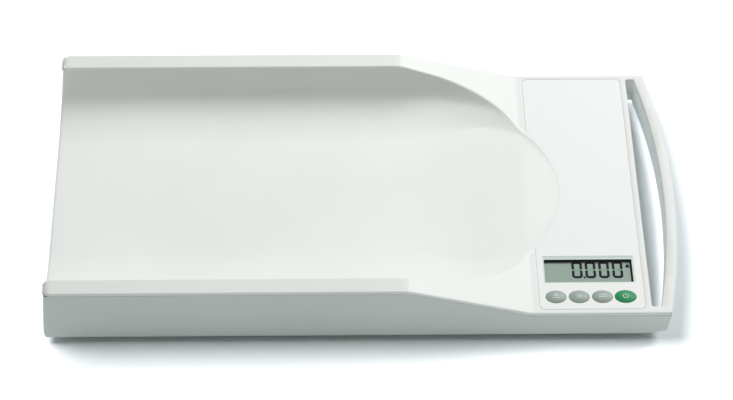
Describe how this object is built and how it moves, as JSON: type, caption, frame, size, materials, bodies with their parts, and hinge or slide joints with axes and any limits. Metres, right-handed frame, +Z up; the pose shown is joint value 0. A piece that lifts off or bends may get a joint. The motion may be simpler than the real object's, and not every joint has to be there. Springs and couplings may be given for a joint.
{
  "type": "digital baby weighing scale",
  "caption": "Long off-white scale with an open-ended hollow tray for a lying baby, a flat console with a display and keys, and a carry handle with a grip slot.",
  "frame": {"origin": "middle of the bounding box, on the surface the feet stand on", "axes": "+X from the open foot end to the carry handle, +Y from the side with the keys to the back, +Z up"},
  "size_m": [0.59, 0.32, 0.065],
  "materials": {
    "cover_plastic": "fine satin texture, off-white",
    "base_plastic": "fine satin texture, off-white",
    "overlay_film": "smooth satin",
    "lens_clear": "clear polished",
    "mask_print": "printed",
    "dark_plastic": "moulded",
    "crystal_glass": "greenish reflective display",
    "contact_rubber": "matt",
    "board_green": "solder resist",
    "black_plastic": "moulded",
    "ivory_plastic": "moulded",
    "key_grey": "soft satin",
    "key_green": "soft satin",
    "plunger_plastic": "moulded",
    "bay_plastic": "moulded",
    "contact_steel": "nickel plated",
    "cell_sleeve": "printed sleeve",
    "pad_rubber": "matt",
    "cup_plastic": "moulded",
    "cell_steel": "satin",
    "clamp_plastic": "moulded",
    "screw_steel": "zinc plated",
    "lead_sleeve": "smooth"
  },
  "bodies": {
    "scale": {"top_cover": "cover_plastic", "base_shell": "base_plastic", "console_overlay": "overlay_film", "display_lens": "lens_clear", "display_mask": "mask_print", "display_holder": "dark_plastic", "display_glass": "crystal_glass", "contact_strips": "contact_rubber", "main_board": "board_green", "board_chips": "black_plastic", "board_sockets": "ivory_plastic", "board_screws": "screw_steel", "switch_bodies": "black_plastic", "battery_bay": "bay_plastic", "battery_contacts": "contact_steel", "battery_springs": "contact_steel", "battery_1": "cell_sleeve", "battery_2": "cell_sleeve", "battery_3": "cell_sleeve", "battery_4": "cell_sleeve", "battery_5": "cell_sleeve", "battery_6": "cell_sleeve", "foot_pad_front_open": "pad_rubber", "foot_pad_back_open": "pad_rubber", "foot_pad_front_head": "pad_rubber", "foot_pad_back_head": "pad_rubber", "foot_cup_front_open": "cup_plastic", "foot_cup_back_open": "cup_plastic", "foot_cup_front_head": "cup_plastic", "foot_cup_back_head": "cup_plastic", "load_cell_front_open": "cell_steel", "load_cell_back_open": "cell_steel", "load_cell_front_head": "cell_steel", "load_cell_back_head": "cell_steel", "cell_clamp_front_open": "clamp_plastic", "cell_clamp_back_open": "clamp_plastic", "cell_clamp_front_head": "clamp_plastic", "cell_clamp_back_head": "clamp_plastic", "clamp_screws": "screw_steel", "housing_screws": "screw_steel", "cell_lead_front_open": "lead_sleeve", "cell_lead_back_open": "lead_sleeve", "cell_lead_front_head": "lead_sleeve", "cell_lead_back_head": "lead_sleeve", "battery_lead": "lead_sleeve"},
    "memory_button": {"key_memory": "key_grey", "switch_plunger_memory": "plunger_plastic"},
    "hold_button": {"key_hold": "key_grey", "switch_plunger_hold": "plunger_plastic"},
    "units_button": {"key_units": "key_grey", "switch_plunger_units": "plunger_plastic"},
    "start_button": {"key_start": "key_green", "switch_plunger_start": "plunger_plastic"},
    "door": {"battery_door": "base_plastic"}
  },
  "joints": [
    {"name": "memory_press", "type": "slide", "parent": "scale", "child": "memory_button", "axis": [0, 0, -1], "range_m": [0, 0.0008], "stiffness_N_per_m": 250, "springref_m": -0.0024},
    {"name": "hold_press", "type": "slide", "parent": "scale", "child": "hold_button", "axis": [0, 0, -1], "range_m": [0, 0.0008], "stiffness_N_per_m": 250, "springref_m": -0.0024},
    {"name": "units_press", "type": "slide", "parent": "scale", "child": "units_button", "axis": [0, 0, -1], "range_m": [0, 0.0008], "stiffness_N_per_m": 250, "springref_m": -0.0024},
    {"name": "start_press", "type": "slide", "parent": "scale", "child": "start_button", "axis": [0, 0, -1], "range_m": [0, 0.0008], "stiffness_N_per_m": 250, "springref_m": -0.0024},
    {"name": "door_hinge", "type": "hinge", "parent": "scale", "child": "door", "pos_m": [0.178, 0, 0.0085], "axis": [0, 1, 0], "range_deg": [0, 88]}
  ]
}
